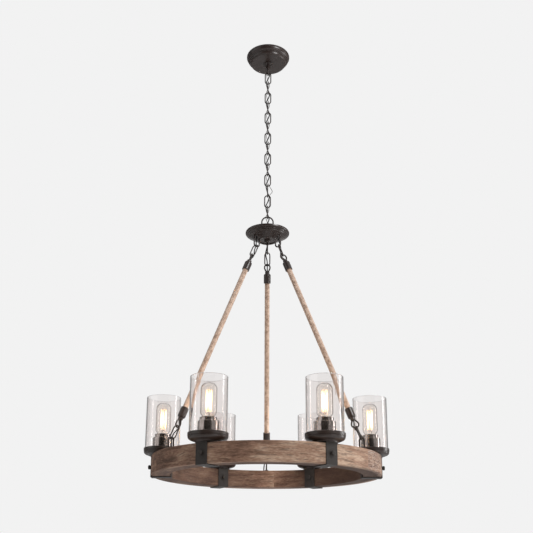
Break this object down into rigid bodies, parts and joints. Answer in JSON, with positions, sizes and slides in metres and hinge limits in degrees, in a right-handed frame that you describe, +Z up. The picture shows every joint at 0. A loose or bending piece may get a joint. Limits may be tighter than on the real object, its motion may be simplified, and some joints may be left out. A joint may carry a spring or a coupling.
{
  "type": "wagon wheel chandelier",
  "caption": "Rustic wagon wheel chandelier: a wooden ring with glass-shaded lamps on ropes, a hub, a chain and a ceiling canopy.",
  "frame": {"origin": "centre of the crossbar's top face, in the ceiling plane", "axes": "+Z up, +X to the right as seen from the front, -Y towards the viewer; the light hangs along -Z"},
  "size_m": [0.713, 0.66, 1.4046],
  "materials": {
    "bronze": "dark oil-rubbed bronze, satin",
    "strap_iron": "matte black iron",
    "fixing_steel": "zinc-plated steel",
    "ground_green": "green passivated steel",
    "black_cord": "black cord sheath",
    "copper": "clear-coated copper ground wire",
    "jute": "tan jute rope",
    "oak": "weathered walnut brown, open grain",
    "gunmetal": "polished gunmetal",
    "porcelain": "glazed porcelain",
    "cap_brass": "rolled brass",
    "bulb_glass": "clear bulb glass",
    "filament": "glowing filament",
    "shade_glass": "clear pressed glass"
  },
  "bodies": {
    "ceiling": {"crossbar": "fixing_steel", "ground_screw": "ground_green", "ceiling_pipe": "fixing_steel", "ceiling_pipe_nuts": "fixing_steel", "canopy": "bronze", "canopy_collar": "bronze", "canopy_loop": "bronze", "supply_cord": "black_cord", "ground_wire": "copper"},
    "link_01": {"link_01": "bronze"},
    "link_02": {"link_02": "bronze"},
    "link_03": {"link_03": "bronze"},
    "link_04": {"link_04": "bronze"},
    "link_05": {"link_05": "bronze"},
    "link_06": {"link_06": "bronze"},
    "link_07": {"link_07": "bronze"},
    "link_08": {"link_08": "bronze"},
    "link_09": {"link_09": "bronze"},
    "link_10": {"link_10": "bronze"},
    "link_11": {"link_11": "bronze"},
    "link_12": {"link_12": "bronze"},
    "link_13": {"link_13": "bronze"},
    "link_14": {"link_14": "bronze"},
    "fixture": {"hub_bow": "bronze", "hub_plate": "bronze", "hub_cover": "bronze", "hub_pipe": "fixing_steel", "hub_nuts": "fixing_steel", "hub_finial": "bronze", "hub_eyes": "bronze", "leg_links": "bronze", "rope_eyes": "bronze", "ferrules": "bronze", "rope_rear": "jute", "rope_left": "jute", "rope_right": "jute", "leg_wires": "black_cord", "ring_eyes": "bronze", "wheel_ring": "oak", "groove_strip": "oak", "ring_harness": "black_cord", "straps": "strap_iron", "strap_screws": "strap_iron", "lamp_pipes": "fixing_steel", "dishes": "bronze", "socket_cups": "gunmetal", "lampholders": "porcelain", "bulb_caps": "cap_brass", "bulb_stems": "bulb_glass", "bulb_filaments": "filament", "bulb_glasses": "bulb_glass", "glass_shade_1": "shade_glass", "glass_shade_2": "shade_glass", "glass_shade_3": "shade_glass", "glass_shade_4": "shade_glass", "glass_shade_5": "shade_glass", "glass_shade_6": "shade_glass"}
  },
  "joints": [
    {"name": "swing_link_01", "type": "hinge", "parent": "ceiling", "child": "link_01", "pos_m": [0, 0, -0.06525], "axis": [0, 1, 0], "range_deg": [-8, 8], "deforming": ["supply_cord", "ground_wire"]},
    {"name": "swing_link_02", "type": "hinge", "parent": "link_01", "child": "link_02", "pos_m": [0, 0, -0.1018], "axis": [1, 0, 0], "range_deg": [-8, 8]},
    {"name": "swing_link_03", "type": "hinge", "parent": "link_02", "child": "link_03", "pos_m": [0, 0, -0.1393], "axis": [0, 1, 0], "range_deg": [-8, 8]},
    {"name": "swing_link_04", "type": "hinge", "parent": "link_03", "child": "link_04", "pos_m": [0, 0, -0.1768], "axis": [1, 0, 0], "range_deg": [-8, 8]},
    {"name": "swing_link_05", "type": "hinge", "parent": "link_04", "child": "link_05", "pos_m": [0, 0, -0.2143], "axis": [0, 1, 0], "range_deg": [-8, 8]},
    {"name": "swing_link_06", "type": "hinge", "parent": "link_05", "child": "link_06", "pos_m": [0, 0, -0.2518], "axis": [1, 0, 0], "range_deg": [-8, 8]},
    {"name": "swing_link_07", "type": "hinge", "parent": "link_06", "child": "link_07", "pos_m": [0, 0, -0.2893], "axis": [0, 1, 0], "range_deg": [-8, 8]},
    {"name": "swing_link_08", "type": "hinge", "parent": "link_07", "child": "link_08", "pos_m": [0, 0, -0.3268], "axis": [1, 0, 0], "range_deg": [-8, 8]},
    {"name": "swing_link_09", "type": "hinge", "parent": "link_08", "child": "link_09", "pos_m": [0, 0, -0.3643], "axis": [0, 1, 0], "range_deg": [-8, 8]},
    {"name": "swing_link_10", "type": "hinge", "parent": "link_09", "child": "link_10", "pos_m": [0, 0, -0.4018], "axis": [1, 0, 0], "range_deg": [-8, 8]},
    {"name": "swing_link_11", "type": "hinge", "parent": "link_10", "child": "link_11", "pos_m": [0, 0, -0.4393], "axis": [0, 1, 0], "range_deg": [-8, 8]},
    {"name": "swing_link_12", "type": "hinge", "parent": "link_11", "child": "link_12", "pos_m": [0, 0, -0.4768], "axis": [1, 0, 0], "range_deg": [-8, 8]},
    {"name": "swing_link_13", "type": "hinge", "parent": "link_12", "child": "link_13", "pos_m": [0, 0, -0.5143], "axis": [0, 1, 0], "range_deg": [-8, 8]},
    {"name": "swing_link_14", "type": "hinge", "parent": "link_13", "child": "link_14", "pos_m": [0, 0, -0.5518], "axis": [1, 0, 0], "range_deg": [-8, 8]},
    {"name": "swing_fixture", "type": "hinge", "parent": "link_14", "child": "fixture", "pos_m": [0, 0, -0.5893], "axis": [0, 1, 0], "range_deg": [-8, 8]}
  ]
}
